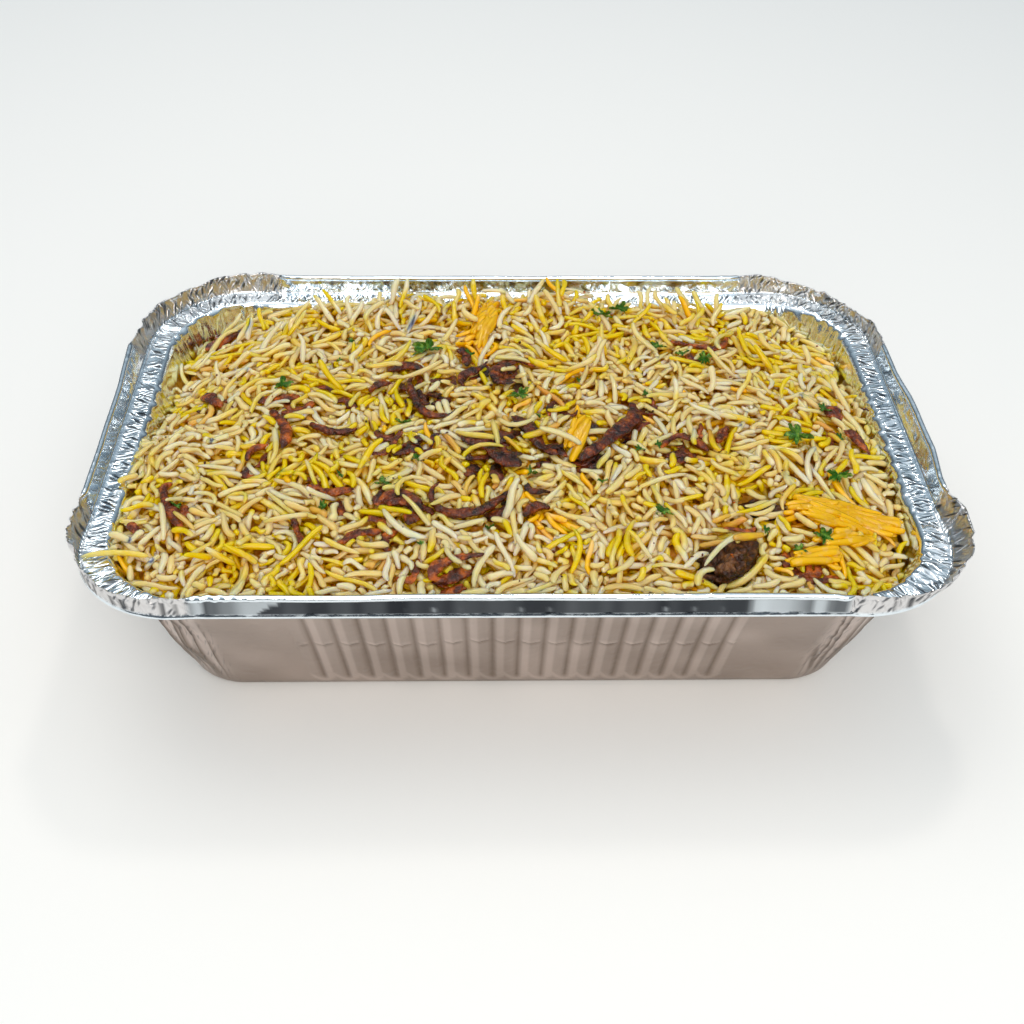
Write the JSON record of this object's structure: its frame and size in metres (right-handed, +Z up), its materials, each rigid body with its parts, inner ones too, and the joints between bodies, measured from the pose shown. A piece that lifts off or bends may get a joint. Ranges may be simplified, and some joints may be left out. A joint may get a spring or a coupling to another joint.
{
  "type": "foil tray meal",
  "caption": "Takeaway rice meal in a foil tray: long grain rice heaped to the rim, with fried onion strips, braised meat and torn herb leaves.",
  "frame": {"origin": "middle of the underside of the tray's base, on the surface that the tray stands on", "axes": "+X along the tray's long side, +Y towards the back long side, +Z up"},
  "size_m": [0.207, 0.1306, 0.0516],
  "materials": {
    "foil": "pressed foil, bright",
    "rice": "soft, moist",
    "onion": "oily, crisp",
    "herb": "matte leaf",
    "meat": "moist, browned"
  },
  "bodies": {
    "root": {"tray": "foil", "rice_heap": "rice", "onion_left_flat": "onion", "onion_left_curl": "onion", "onion_left_tick": "onion", "onion_left_arc": "onion", "onion_far_left_hook": "onion", "onion_far_left_low": "onion", "onion_left_low": "onion", "onion_front_thread": "onion", "onion_front_left": "onion", "onion_back_left": "onion", "onion_back_left_low": "onion", "onion_middle_hook": "onion", "onion_back_middle": "onion", "onion_middle_loop": "onion", "onion_clump_back": "onion", "onion_clump_middle": "onion", "onion_middle_broad": "onion", "onion_clump_right": "onion", "onion_clump_front": "onion", "onion_front_ring": "onion", "onion_front_sliver": "onion", "onion_front_edge": "onion", "onion_back_right_long": "onion", "onion_right_arc": "onion", "onion_right_tick": "onion", "onion_right_bit": "onion", "onion_right_wall": "onion", "onion_corner_back_left": "onion", "onion_left_wall": "onion", "herb_back_middle": "herb", "herb_left": "herb", "herb_middle": "herb", "herb_right": "herb", "herb_far_right": "herb", "herb_front_right": "herb", "herb_back_right": "herb", "herb_back": "herb", "meat_front": "meat", "meat_right": "meat"}
  },
  "joints": []
}
